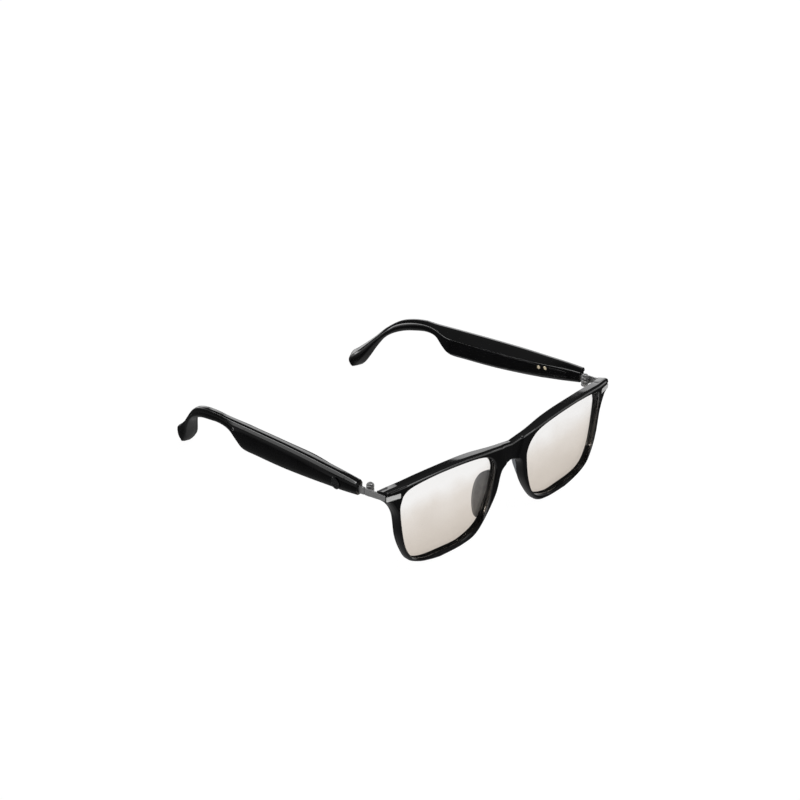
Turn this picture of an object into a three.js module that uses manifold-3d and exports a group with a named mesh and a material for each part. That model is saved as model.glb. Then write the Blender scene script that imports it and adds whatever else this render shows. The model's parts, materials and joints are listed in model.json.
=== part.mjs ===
// Smart audio glasses. Millimetres, +Z up. The glasses stand open, on the lowest points of
// the two rims and on the two temple tips. The wearer looks along -Y, and the wearer's left
// is +X. Lengths along Y are measured back from the bridge's front; one group at the end
// moves the whole assembly so that its origin is under the middle of its box.
import * as THREE from 'three';
import { mergeVertices } from 'three/addons/utils/BufferGeometryUtils.js';
import Module from 'manifold-3d';

// Overall
const OVERALL_DEPTH = 170.5;
const HALF_WIDTH = 73;
const GAP = 0.3;

// Front: its face leans forward at the brow and wraps back towards the ends
const BROW_HEIGHT = 44;
const LEAN = 0.047;
const WRAP = 4.55;
const END_SWEEP = 1.2;
const BRIDGE_DEPTH = 4.1;
const RIM_DEPTH_LOW = 3.7;
const RIM_DEPTH_HIGH = 5.2;
const END_DEPTH = 6.4;
const END_BACK_DROP = 1.3;
const BRIDGE_HALF = 8;
const RIM_FROM = 24;
const END_FROM = 62;
const END_FULL = 70;
const FRONT_BEVEL = 0.6;
const BEVEL_SHARE = 0.14;

// Lenses, each held in a groove round its opening
const LENS_THICKNESS = 1.8;
const LENS_SETBACK = 1.1;
const LENS_OVERLAP = 0.8;
const LENS_SEGMENTS = 44;
const LENS_CENTRE = [37, 25];

// Nose pads: how far each reaches back and outwards, and its thickness at the rim and at its edge
const PAD_REACH = 6.2;
const PAD_FLARE = 0.38;
const PAD_THICKNESS = 2.7;
const PAD_EDGE_SHARE = 0.75;
const PAD_ROUNDING = 0.04;

// Metal plate let into each end of the front
const PLATE = { inner: 65.9, outer: 72.4, low: 41.1, high: 43.5, thickness: 0.7, pocket: 0.95 };

// Hinge: a vertical barrel of three knuckles, inboard of a flat side strip in two halves
const HINGE_X = 70.3;
const HINGE_Y = 18.1;
const BARREL_RADIUS = 1.7;
const BORE_RADIUS = 0.95;
const SCREW_RADIUS = 0.62;
const SCREW_HEAD_RADIUS = 1.3;
const SCREW_HEAD_HEIGHT = 0.45;
const BARREL_LOW = 38.4;
const BARREL_HIGH = 43.7;
const KNUCKLE_HEIGHT = 1.55;
const STRIP_INNER = 2.0;
const STRIP_THICKNESS = 0.85;
const STRIP_FRONT = -11.5;
const STRIP_SPLIT = 0.95;
const STRIP_BACK = 13;
const STRIP_TOP = 42.9;
const STRIP_TOP_SLOPE = 0.111;
const STRIP_BOTTOM = 39.35;
const STRIP_BOTTOM_SLOPE = 0.183;

// Temple, measured from the hinge axis: y back, z up from the table, x outwards
const TEMPLE_FRONT = 3.8;
const TEMPLE_OUTER = 4.7;
const BELLY_THICKNESS = 7.5;
const NECK_THICKNESS = 4.4;
const TIP_THICKNESS = 9;
const TOP_EDGE_WIDTH = 2.8;
const BOTTOM_EDGE_WIDTH = 4.8;
const SHOULDER_TOP = 0.74;
const SHOULDER_BOTTOM = 0.17;
const TAPER = 0.8;
const TOE_IN = 0.038;
const HOOK_START = 104;
const HOOK_CURL = 0.0045;
const TIP_FLARE = 2.6;
const WALL = 1.3;
const LID_THICKNESS = 1.1;
const LID_LOW_MARGIN = 2.6;
const LID_HIGH_MARGIN = 3.7;
const HOLLOW_HIGH_MARGIN = 2.85;
const HOLLOW_LOW_MARGIN = 2.1;
const LEDGE = 0.8;
const LID_FRONT = 11.5;
const LID_BACK = 84;
const TEMPLE_SLOPE = 0.105;

// Contacts, touch mark and sound outlets
const CONTACT_RADIUS = 0.95;
const CONTACT_LENGTH = 1.9;
const CONTACT_SETBACK = 0.05;
const COLLAR_RADIUS = 1.3;
const COLLAR_THICKNESS = 0.4;
const CONTACT_PLACES = { front: [23.8, 39.4], rear: [27.4, 38.8] };
const TOUCH_PLACE = [17.8, 37.9];
const TOUCH_RADIUS = 2.7;
const TOUCH_DEPTH = 0.5;
const SOUND_FRONT = 73;
const SOUND_LENGTH = 8;
const SOUND_WIDTH = 1.8;
const SOUND_INSET = 3.3;
const VOICE_Y = 14.2;
const VOICE_INSET = 2.3;
const VOICE_RADIUS = 0.5;
const GRILLE_TOP = 26.3;
const GRILLE_THICKNESS = 0.6;
const GRILLE_HOLES = 5;
const GRILLE_HOLE_RADIUS = 0.35;

// Electronics that lie against the outer wall of each temple
const ELECTRONICS = {
  touch_sensor: { length: 5.6, height: 4, thickness: 0.35, y: 19.2, z: 39.3, offWall: 0.15 },
  main_board: { length: 20, height: 4.2, thickness: 0.6, y: 27.5, z: 38.6, offWall: 0.8 },
  microphone: { length: 2, height: 1.6, thickness: 0.9, y: 14.2, z: 39.2, offWall: 0.2 },
  battery: { length: 27, height: 6.6, thickness: 3.2, y: 52.5, z: 34.9, offWall: 0.3, corner: 1 },
  speaker: { length: 13, height: 7, thickness: 3.2, y: 76, z: 32.1, offWall: 0.3, corner: 3 },
};

const wasm = await Module();
wasm.setup();

// Materials
function paint(color, roughness, metalness) {
  return new THREE.MeshStandardMaterial({ color, roughness, metalness });
}
const glossBlack = paint(0x08080a, 0.16, 0);
const lensGlass = new THREE.MeshStandardMaterial({
  color: 0xe2d8cc, roughness: 0.04, metalness: 0, transparent: true, opacity: 0.35,
});
const padGrey = paint(0x34363a, 0.35, 0);
const satinSilver = paint(0xb9b9b6, 0.32, 1);
const gunmetal = paint(0x4c4c4e, 0.36, 1);
const barrelSteel = paint(0x8f8f90, 0.3, 1);
const gold = paint(0xd9b878, 0.25, 1);
const foil = paint(0xb4b6b8, 0.4, 0.8);
const boardGreen = paint(0x14502e, 0.5, 0);
const shieldTin = paint(0xa9abad, 0.35, 1);
const speakerBlack = paint(0x1b1b1d, 0.55, 0);
const grilleSteel = paint(0x3a3a3c, 0.45, 1);
const flexAmber = paint(0xa96a1c, 0.45, 0);
const markGrey = paint(0x26262a, 0.3, 0);

// Small helpers for shapes
const { clamp, lerp, smoothstep } = THREE.MathUtils;
const asVectors = (pairs) => pairs.map(([u, v]) => new THREE.Vector2(u, v));

/** Points of an open smooth curve through the given pairs. */
function curveThrough(pairs, perSpan) {
  return new THREE.SplineCurve(asVectors(pairs)).getPoints((pairs.length - 1) * perSpan);
}

/** Points of a closed smooth curve through the given pairs, with no point repeated. */
function loopThrough(pairs, count) {
  const knots = pairs.map(([u, v]) => new THREE.Vector3(u, v, 0));
  const curve = new THREE.CatmullRomCurve3(knots, true, 'catmullrom', 0.5);
  return curve.getSpacedPoints(count).slice(0, count).map((p) => new THREE.Vector2(p.x, p.y));
}

/** Moves a closed outline along its own normals: outwards when distance is positive. */
function offsetOutline(points, distance) {
  const turn = THREE.ShapeUtils.isClockWise(points) ? -1 : 1;
  return points.map((point, i) => {
    const before = points[(i + points.length - 1) % points.length];
    const after = points[(i + 1) % points.length];
    const along = after.clone().sub(before).normalize();
    return new THREE.Vector2(point.x + turn * along.y * distance, point.y - turn * along.x * distance);
  });
}

/** Moves every vertex of a geometry in place. */
function reshape(geometry, move) {
  const position = geometry.attributes.position;
  const vertex = new THREE.Vector3();
  for (let i = 0; i < position.count; i += 1) {
    vertex.fromBufferAttribute(position, i);
    move(vertex);
    position.setXYZ(i, vertex.x, vertex.y, vertex.z);
  }
  return geometry;
}

/** Extrudes an outline to one unit of depth, with a bevel given as a share of that depth. */
function unitExtrude(outline, holes, bevelSize, bevelShare) {
  const shape = new THREE.Shape(outline);
  shape.holes = holes.map((hole) => new THREE.Path(hole));
  const geometry = new THREE.ExtrudeGeometry(shape, {
    depth: 1 - 2 * bevelShare,
    bevelEnabled: bevelSize > 0,
    bevelSize,
    bevelOffset: -bevelSize,
    bevelThickness: bevelShare,
    bevelSegments: 1,
    steps: 1,
  });
  return geometry.translate(0, 0, bevelShare);
}

/** A slab of the front: outline in x and z, its y given by two functions of x and z. */
function frontSlab(outline, holes, frontAt, backAt, bevelSize = 0, bevelShare = 0) {
  return reshape(unitExtrude(outline, holes, bevelSize, bevelShare), (v) => {
    const depth = 1 - v.z;
    const x = v.x;
    const z = v.y;
    v.set(x, lerp(frontAt(x, z), backAt(x, z), depth), z);
  });
}

/** A flat slab of a temple: outline in y and z, between two x. */
function templeSlab(outline, innerX, outerX) {
  return reshape(unitExtrude(outline, [], 0, 0), (v) => v.set(lerp(innerX, outerX, v.z), v.x, v.y));
}

/** Sweeps a section backwards: place gives a point from the share of the way, and u and v. */
function sweep(section, steps, place) {
  const settings = { depth: 1, steps, bevelEnabled: false };
  const geometry = new THREE.ExtrudeGeometry(new THREE.Shape(section), settings);
  return reshape(geometry, (v) => v.copy(place(1 - v.z, v.x, v.y)));
}

/** Three.js geometry to a manifold solid. */
function toSolid(geometry) {
  const bare = geometry.clone();
  bare.deleteAttribute('normal');
  bare.deleteAttribute('uv');
  const merged = mergeVertices(bare, 1e-4);
  return new wasm.Manifold(new wasm.Mesh({
    numProp: 3,
    vertProperties: Float32Array.from(merged.attributes.position.array),
    triVerts: Uint32Array.from(merged.index.array),
  }));
}

/** Manifold solid back to a three.js geometry. */
function toGeometry(solid) {
  const mesh = solid.getMesh();
  const geometry = new THREE.BufferGeometry();
  geometry.setAttribute('position', new THREE.BufferAttribute(Float32Array.from(mesh.vertProperties), 3));
  geometry.setIndex(new THREE.BufferAttribute(Uint32Array.from(mesh.triVerts), 1));
  return geometry;
}

/** A geometry for one side: the left as it is, the right as its mirror image. */
function forSide(geometry, side) {
  const copy = geometry.index ? geometry.clone() : mergeVertices(geometry.clone());
  if (side > 0) {
    return copy;
  }
  copy.scale(-1, 1, 1);
  const index = copy.index.array;
  for (let i = 0; i < index.length; i += 3) {
    [index[i], index[i + 1]] = [index[i + 1], index[i]];
  }
  return copy;
}

function addMesh(group, name, geometry, material, side = 1) {
  const mesh = new THREE.Mesh(forSide(geometry, side), material);
  mesh.name = name;
  mesh.geometry.computeVertexNormals();
  group.add(mesh);
  return mesh;
}

/** Upright cylinder between two heights. */
function uprightCylinder(radius, low, high, sides = 20) {
  return new THREE.CylinderGeometry(radius, radius, high - low, sides)
    .rotateX(Math.PI / 2)
    .translate(0, 0, (low + high) / 2);
}

/** Cylinder along x, from one x to another, at a place in y and z. */
function crossCylinder(radius, fromX, toX, y, z, sides = 20) {
  return new THREE.CylinderGeometry(radius, radius, toX - fromX, sides)
    .rotateZ(Math.PI / 2)
    .translate((fromX + toX) / 2, y, z);
}

/** Box between two corners. */
function boxBetween(low, high) {
  const size = high.map((value, i) => value - low[i]);
  const centre = high.map((value, i) => (value + low[i]) / 2);
  return new THREE.BoxGeometry(...size).translate(...centre);
}

// ---------------------------------------------------------------- front

/** Front face: wrapped, swept back a little more at the ends, and leaning forward at the brow. */
function frontAt(x, z) {
  const wrap = WRAP * (x / HALF_WIDTH) ** 2;
  const sweepBack = END_SWEEP * smoothstep(Math.abs(x), END_FROM, HALF_WIDTH);
  return wrap + sweepBack + LEAN * (BROW_HEIGHT - z);
}

/** Thickness of the front: slim at the bridge, fuller at the rims, deepest at the ends. */
function frontDepth(x, z) {
  const rim = lerp(RIM_DEPTH_LOW, RIM_DEPTH_HIGH, clamp(z / BROW_HEIGHT, 0, 1));
  const inboard = lerp(BRIDGE_DEPTH, rim, smoothstep(Math.abs(x), BRIDGE_HALF, RIM_FROM));
  const end = smoothstep(Math.abs(x), END_FROM, END_FULL) * smoothstep(z, 36, 40);
  return lerp(inboard, END_DEPTH, end);
}

const frontBackAt = (x, z) => frontAt(x, z) + frontDepth(x, z);

/** Outline of the front in x and z: one half, then its mirror image. */
function frontOutline() {
  const brow = curveThrough(
    [[0, 42.6], [7.5, 43.8], [18, 45.1], [32, 46.7], [50, 47.1], [64, 46.6], [72.8, 45.5]], 3);
  const endCorner = asVectors([[72.6, 40.6]]);
  const temporal = curveThrough(
    [[70.7, 39.6], [67.2, 32.3], [65.6, 20.3], [63.1, 12.2], [59.6, 6], [54.3, 2.8], [48, 1], [42, 0]], 3);
  const nasal = curveThrough(
    [[36, 0], [28.4, 0.4], [20.9, 2.4], [14.9, 8.7], [8.6, 19.4], [5.6, 30.4], [0, 33.2]], 3);
  const half = [...brow, ...endCorner, ...temporal, ...nasal];
  const inner = half.slice(1, -1);
  const mirrored = inner.reverse().map((p) => new THREE.Vector2(-p.x, p.y));
  return [...half, ...mirrored].reverse();
}

/** Outline of one lens opening on the left. */
function lensOpening() {
  return loopThrough([
    [10.6, 30.2], [11.1, 35.7], [13.9, 39.8], [18.6, 42.4], [29, 44.1], [44.5, 44.9], [58, 44.1],
    [63.4, 42], [65.2, 37], [65, 31], [63.4, 19.9], [61.2, 12.2], [57.2, 6.4], [50.5, 3.8], [40, 3.1],
    [28.5, 3.2], [18.3, 7.7], [13.4, 17.1],
  ], LENS_SEGMENTS);
}

/** The lens: a disc of rings, stretched to the outline and bent with the front. */
function lensGeometry() {
  const outline = offsetOutline(lensOpening(), LENS_OVERLAP);
  const [centreX, centreZ] = LENS_CENTRE;
  const rings = [0, 0.5, 0.85, 1];
  const profile = [
    ...rings.map((r) => new THREE.Vector2(r, 0)),
    ...rings.toReversed().map((r) => new THREE.Vector2(r, 1)),
  ];
  const disc = new THREE.LatheGeometry(profile, LENS_SEGMENTS);
  return reshape(disc, (v) => {
    const share = Math.hypot(v.x, v.z);
    const turn = Math.round((Math.atan2(v.x, v.z) / (2 * Math.PI)) * LENS_SEGMENTS);
    const edge = outline[(turn + LENS_SEGMENTS) % LENS_SEGMENTS];
    const x = lerp(centreX, edge.x, share);
    const z = lerp(centreZ, edge.y, share);
    v.set(x, frontAt(x, z) + LENS_SETBACK + LENS_THICKNESS * v.y, z);
  });
}

function rectangle(left, right, low, high) {
  return asVectors([[left, low], [right, low], [right, high], [left, high]]);
}

/** Outline of the hinge's side strip between two y, in y and z from the hinge axis. */
function stripOutline(fromY, toY, margin = 0) {
  const top = (y) => STRIP_TOP - STRIP_TOP_SLOPE * y + margin;
  const bottom = (y) => STRIP_BOTTOM - STRIP_BOTTOM_SLOPE * y - margin;
  return asVectors([[fromY, bottom(fromY)], [toY, bottom(toY)], [toY, top(toY)], [fromY, top(fromY)]]);
}

function frontFrame() {
  const openings = [1, -1].map((side) => lensOpening().map((p) => new THREE.Vector2(side * p.x, p.y)));
  const block = frontSlab(frontOutline(), openings, frontAt, frontBackAt, FRONT_BEVEL, BEVEL_SHARE);
  reshape(block, (v) => {
    const share = (v.y - frontAt(v.x, v.z)) / frontDepth(v.x, v.z);
    const atEnd = smoothstep(Math.abs(v.x), END_FROM, END_FULL);
    v.z -= END_BACK_DROP * smoothstep(share, 0.5, 1) * atEnd * smoothstep(v.z, 43, 45);
  });
  let solid = toSolid(block);
  for (const side of [1, -1]) {
    const groove = frontSlab(
      offsetOutline(lensOpening(), LENS_OVERLAP + GAP), [],
      (x, z) => frontAt(x, z) + LENS_SETBACK - GAP,
      (x, z) => frontAt(x, z) + LENS_SETBACK + LENS_THICKNESS + GAP,
    );
    const plateBed = frontSlab(
      rectangle(PLATE.inner - GAP, PLATE.outer + GAP, PLATE.low - GAP, PLATE.high + GAP), [],
      (x, z) => frontAt(x, z) - 1,
      (x, z) => frontAt(x, z) + PLATE.pocket,
    );
    const stripBed = templeSlab(
      stripOutline(STRIP_FRONT - GAP, 0, GAP), STRIP_INNER - GAP, STRIP_INNER + 4,
    ).translate(HINGE_X, HINGE_Y, 0);
    for (const cut of [groove, plateBed, stripBed]) {
      solid = solid.subtract(toSolid(forSide(cut, side)));
    }
  }
  return toGeometry(solid);
}

function frontPlate() {
  return frontSlab(
    rectangle(PLATE.inner, PLATE.outer, PLATE.low, PLATE.high), [],
    frontAt,
    (x, z) => frontAt(x, z) + PLATE.thickness,
  );
}

/** Nose pad: a fin behind the rim's nasal side that flares outwards as it goes back. */
function nosePad() {
  const rimMiddle = (z) => 7.4 + 0.42 * (30 - z);
  const outline = curveThrough(
    [[0, 8.5], [0.35, 10], [0.7, 14], [0.94, 19], [1, 23.5], [0.85, 27], [0.5, 29], [0, 30]], 3);
  return reshape(unitExtrude(outline, [], PAD_ROUNDING, 0.25), (v) => {
    const reach = PAD_REACH * v.x;
    const z = v.y;
    const rim = rimMiddle(z);
    const thickness = PAD_THICKNESS * lerp(1, PAD_EDGE_SHARE, v.x);
    const x = rim + PAD_FLARE * reach + (v.z - 0.5) * thickness;
    v.set(x, frontBackAt(rim, z) + GAP + reach, z);
  });
}

// ---------------------------------------------------------------- hinge

/** One leaf: half of the side strip, and the knuckles that stand inboard of it. */
function hingeLeaf(fromY, toY, knuckles, webFromY, webToY) {
  const outer = STRIP_INNER + STRIP_THICKNESS;
  let leaf = toSolid(templeSlab(stripOutline(fromY, toY), STRIP_INNER, outer));
  for (const [low, high] of knuckles) {
    const webLow = Math.max(low, STRIP_BOTTOM + 0.1);
    const webHigh = Math.min(high, STRIP_TOP - 0.35);
    leaf = leaf
      .add(toSolid(uprightCylinder(BARREL_RADIUS, low, high)))
      .add(toSolid(boxBetween([0, webFromY, webLow], [outer - 0.1, webToY, webHigh])));
  }
  const bore = toSolid(uprightCylinder(BORE_RADIUS, BARREL_LOW - 1, BARREL_HIGH + 1));
  return toGeometry(leaf.subtract(bore));
}

function frontLeaf() {
  const knuckles = [
    [BARREL_LOW, BARREL_LOW + KNUCKLE_HEIGHT],
    [BARREL_HIGH - KNUCKLE_HEIGHT, BARREL_HIGH],
  ];
  return hingeLeaf(STRIP_FRONT, STRIP_SPLIT - GAP, knuckles, -BARREL_RADIUS, 0);
}

function templeLeaf() {
  const middle = [BARREL_LOW + KNUCKLE_HEIGHT + GAP, BARREL_HIGH - KNUCKLE_HEIGHT - GAP];
  return hingeLeaf(STRIP_SPLIT, STRIP_BACK, [middle], 1, 1.65);
}

/** Hinge screw: a slim shank through the knuckles, with a low domed head on top. */
function hingeScrew() {
  const headLow = BARREL_HIGH + GAP;
  const headHigh = headLow + SCREW_HEAD_HEIGHT;
  const profile = asVectors([
    [0, BARREL_LOW + 0.1], [SCREW_RADIUS, BARREL_LOW + 0.1], [SCREW_RADIUS, headLow],
    [SCREW_HEAD_RADIUS, headLow], [SCREW_HEAD_RADIUS, headLow + 0.2], [0.8, headHigh - 0.05], [0, headHigh],
  ]);
  return new THREE.LatheGeometry(profile, 16).rotateX(Math.PI / 2);
}

// ---------------------------------------------------------------- temple

// The temple's upper and lower edges in side view, as matching places from the hinge to the tip
const TOP_EDGE = [
  [3.8, 45.4], [14, 45], [25, 44.2], [40, 43.1], [58, 41.4], [75, 39.6], [84, 38.6], [91, 37.8],
  [98, 37], [106, 36.4], [115, 34.5], [123, 31.2], [130.2, 25.9], [136.6, 19.4], [142, 14.2],
  [147.4, 9.6], [151.8, 6], [152.3, 3], [150.2, 0.8], [147.4, 0.05],
];
const BOTTOM_EDGE = [
  [4.4, 37.6], [14, 35.3], [25, 33.2], [39, 30.5], [57, 27.5], [75, 25.3], [85.6, 24.3], [90.4, 26.6],
  [96, 30.3], [103.5, 30.8], [112, 28.9], [120.3, 26.3], [127.4, 22.7], [132, 18.8], [135.6, 13.3],
  [138.6, 7.6], [141.2, 3.6], [143.4, 1.2], [145, 0.1], [146.2, 0],
];

const hookCurl = (y) => HOOK_CURL * Math.max(0, y - HOOK_START) ** 2;
const tipFlare = (y) => TIP_FLARE * smoothstep(y, 141, 152);
const templeOuterAt = (y) => TEMPLE_OUTER - TOE_IN * (y - TEMPLE_FRONT) - hookCurl(y) + tipFlare(y);

/** Thickness: slim at the hinge and behind the ear, full where the battery and speaker are. */
function templeThickness(y) {
  const frontPart = lerp(4, BELLY_THICKNESS, smoothstep(y, TEMPLE_FRONT, 45));
  const neck = lerp(frontPart, NECK_THICKNESS, smoothstep(y, 84, 102));
  return lerp(neck, TIP_THICKNESS, smoothstep(y, 126, 147));
}

const templeInnerAt = (y) => templeOuterAt(y) - templeThickness(y);

const edgeCurve = (pairs) => new THREE.SplineCurve(asVectors(pairs));
const templeTop = edgeCurve(TOP_EDGE);
const templeBottom = edgeCurve(BOTTOM_EDGE);

/** Height of an edge of the straight part of the temple, at a distance back from the hinge. */
function heightOn(pairs, y) {
  const next = Math.max(1, pairs.findIndex(([place]) => place >= y));
  const [fromY, fromZ] = pairs[next - 1];
  const [toY, toZ] = pairs[next];
  return lerp(fromZ, toZ, (y - fromY) / (toY - fromY));
}

/** Width of the section at a height share v: full in the middle, slimmer to the two edges. */
function widthAt(y, v) {
  const full = templeThickness(y);
  const top = Math.min(TOP_EDGE_WIDTH, TAPER * full);
  const bottom = Math.min(BOTTOM_EDGE_WIDTH, TAPER * full);
  if (v > SHOULDER_TOP) {
    return lerp(full, top, (v - SHOULDER_TOP) / (1 - SHOULDER_TOP));
  }
  return lerp(bottom, full, Math.min(1, v / SHOULDER_BOTTOM));
}

/** The solid temple: a section with slim edges, swept from the hinge round the hook to the tip. */
function templeBody() {
  const section = asVectors([
    [0.08, 0], [0.8, 0], [1, 0.06], [1, 0.88], [0.72, 1], [0.08, 1], [0, 0.95],
    [0, SHOULDER_TOP], [0, SHOULDER_BOTTOM], [0, 0.05],
  ]);
  return toSolid(sweep(section, 3 * (TOP_EDGE.length - 1), (share, u, v) => {
    const low = templeBottom.getPoint(share);
    const high = templeTop.getPoint(share);
    const y = lerp(low.x, high.x, v);
    const z = Math.max(0, lerp(low.y, high.y, v));
    return new THREE.Vector3(templeOuterAt(y) - (1 - u) * widthAt(y, v), y, z);
  }));
}

/** A block inside the straight part: margins from the two edges, and two x as functions of y. */
function innerBlock(fromY, toY, lowMargin, highMargin, innerAt, outerAt) {
  const square = rectangle(0, 1, 0, 1);
  return toSolid(sweep(square, 12, (share, u, v) => {
    const y = lerp(fromY, toY, share);
    const low = heightOn(BOTTOM_EDGE, y) + lowMargin;
    const high = heightOn(TOP_EDGE, y) - highMargin;
    return new THREE.Vector3(lerp(innerAt(y), outerAt(y), u), y, lerp(low, high, v));
  }));
}

/** Outer casing: the hollow part by the hinge and the solid hook behind the ear, in one. */
function templeShell() {
  const lidBed = innerBlock(
    LID_FRONT, LID_BACK, LID_LOW_MARGIN, LID_HIGH_MARGIN,
    (y) => templeInnerAt(y) - 2,
    (y) => templeInnerAt(y) + LID_THICKNESS + GAP,
  );
  const hollow = innerBlock(
    LID_FRONT + LEDGE, LID_BACK - LEDGE, HOLLOW_LOW_MARGIN, HOLLOW_HIGH_MARGIN,
    (y) => templeInnerAt(y) + LID_THICKNESS,
    (y) => templeOuterAt(y) - WALL,
  );
  const leafSlot = toSolid(templeSlab(
    stripOutline(TEMPLE_FRONT - 1, STRIP_BACK + GAP, GAP),
    STRIP_INNER - GAP,
    STRIP_INNER + STRIP_THICKNESS + GAP,
  ));
  const soundMiddle = templeOuterAt(SOUND_FRONT) - SOUND_INSET;
  const soundSlot = toSolid(boxBetween(
    [soundMiddle - SOUND_WIDTH / 2, SOUND_FRONT, 20],
    [soundMiddle + SOUND_WIDTH / 2, SOUND_FRONT + SOUND_LENGTH, 29]));
  const voiceHole = toSolid(
    uprightCylinder(VOICE_RADIUS, 30, 39, 10).translate(templeOuterAt(VOICE_Y) - VOICE_INSET, VOICE_Y, 0));
  const touchBed = toSolid(crossCylinder(
    TOUCH_RADIUS + GAP, templeOuterAt(TOUCH_PLACE[0]) - TOUCH_DEPTH, 8, ...TOUCH_PLACE, 24));
  return [lidBed, hollow, leafSlot, soundSlot, voiceHole, touchBed]
    .reduce((shell, cut) => shell.subtract(cut), templeBody());
}

/** Inner cover: a thin lid that closes the compartment, drilled for the two contacts. */
function innerCover() {
  const lid = innerBlock(
    LID_FRONT + GAP, LID_BACK - GAP, LID_LOW_MARGIN + GAP, LID_HIGH_MARGIN + GAP,
    templeInnerAt, (y) => templeInnerAt(y) + LID_THICKNESS);
  const drills = Object.values(CONTACT_PLACES).map(([y, z]) => (
    toSolid(crossCylinder(CONTACT_RADIUS + GAP, -8, 8, y, z))));
  return toGeometry(drills.reduce((cover, drill) => cover.subtract(drill), lid));
}

/** A spring contact: a pin with a collar behind the cover. */
function chargeContact([y, z]) {
  const face = templeInnerAt(y) + CONTACT_SETBACK;
  const pin = toSolid(crossCylinder(CONTACT_RADIUS, face, face + CONTACT_LENGTH, y, z));
  const collarFrom = face + LID_THICKNESS + GAP;
  const collar = toSolid(crossCylinder(COLLAR_RADIUS, collarFrom, collarFrom + COLLAR_THICKNESS, y, z));
  return toGeometry(pin.add(collar));
}

/** A thin disc let into the outer face, just below its surface, that marks the touch control. */
function touchMark() {
  const [y, z] = TOUCH_PLACE;
  const outer = templeOuterAt(y);
  return crossCylinder(TOUCH_RADIUS, outer - TOUCH_DEPTH + GAP, outer - 0.02, y, z, 24);
}

/** A box, its corners rounded if asked, that lies along the temple's slope against its outer wall. */
function alongTemple({ length, height, thickness, y, z, offWall, corner }) {
  const outline = corner
    ? roundedRectangle(length, height, corner)
    : rectangle(-length / 2, length / 2, -height / 2, height / 2);
  return templeSlab(outline, 0, thickness)
    .rotateX(-TEMPLE_SLOPE)
    .rotateZ(TOE_IN)
    .translate(templeOuterAt(y) - WALL - offWall - thickness, y, z);
}

function roundedRectangle(length, height, radius) {
  const shape = new THREE.Shape();
  const x = length / 2 - radius;
  const z = height / 2 - radius;
  shape.absarc(x, z, radius, 0, Math.PI / 2);
  shape.absarc(-x, z, radius, Math.PI / 2, Math.PI);
  shape.absarc(-x, -z, radius, Math.PI, Math.PI * 1.5);
  shape.absarc(x, -z, radius, Math.PI * 1.5, Math.PI * 2);
  return shape.getPoints(3);
}

/** Speaker grille: a plate with a row of holes, inside the sound slot. */
function speakerGrille() {
  const middle = templeOuterAt(SOUND_FRONT) - SOUND_INSET;
  const halfWidth = SOUND_WIDTH / 2 - GAP;
  const front = SOUND_FRONT + GAP;
  const length = SOUND_LENGTH - 2 * GAP;
  let plate = toSolid(boxBetween(
    [middle - halfWidth, front, GRILLE_TOP - GRILLE_THICKNESS],
    [middle + halfWidth, front + length, GRILLE_TOP],
  ));
  for (let i = 0; i < GRILLE_HOLES; i += 1) {
    const hole = uprightCylinder(GRILLE_HOLE_RADIUS, GRILLE_TOP - 2, GRILLE_TOP + 2, 8)
      .translate(middle, front + length * (i + 0.5) / GRILLE_HOLES, 0);
    plate = plate.subtract(toSolid(hole));
  }
  return toGeometry(plate);
}

function templePieces() {
  return [
    ['shell', toGeometry(templeShell()), glossBlack],
    ['inner_cover', innerCover(), glossBlack],
    ['hinge_leaf', templeLeaf(), gunmetal],
    ['touch_mark', touchMark(), markGrey],
    ['charge_contact_front', chargeContact(CONTACT_PLACES.front), gold],
    ['charge_contact_rear', chargeContact(CONTACT_PLACES.rear), gold],
    ['touch_sensor', alongTemple(ELECTRONICS.touch_sensor), flexAmber],
    ['main_board', alongTemple(ELECTRONICS.main_board), boardGreen],
    ['microphone', alongTemple(ELECTRONICS.microphone), shieldTin],
    ['battery', alongTemple(ELECTRONICS.battery), foil],
    ['speaker', alongTemple(ELECTRONICS.speaker), speakerBlack],
    ['speaker_grille', speakerGrille(), grilleSteel],
  ];
}

// ---------------------------------------------------------------- assembly

const glasses = new THREE.Group();
glasses.position.y = -OVERALL_DEPTH / 2;

addMesh(glasses, 'front_frame', frontFrame(), glossBlack);
for (const [wearerSide, side] of [['left', 1], ['right', -1]]) {
  addMesh(glasses, `lens_${wearerSide}`, lensGeometry(), lensGlass, side);
  addMesh(glasses, `front_plate_${wearerSide}`, frontPlate(), satinSilver, side);
  addMesh(glasses, `nose_pad_${wearerSide}`, nosePad(), padGrey, side);

  const hinge = new THREE.Group();
  hinge.position.set(side * HINGE_X, HINGE_Y, 0);
  addMesh(hinge, `hinge_front_leaf_${wearerSide}`, frontLeaf(), gunmetal, side);
  addMesh(hinge, `hinge_screw_${wearerSide}`, hingeScrew(), barrelSteel, side);
  for (const [piece, geometry, material] of templePieces()) {
    addMesh(hinge, `temple_${piece}_${wearerSide}`, geometry, material, side);
  }
  glasses.add(hinge);
}

export default glasses;
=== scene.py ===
"""Smart audio glasses: the look of the real object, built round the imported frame."""

import json
import math

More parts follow.
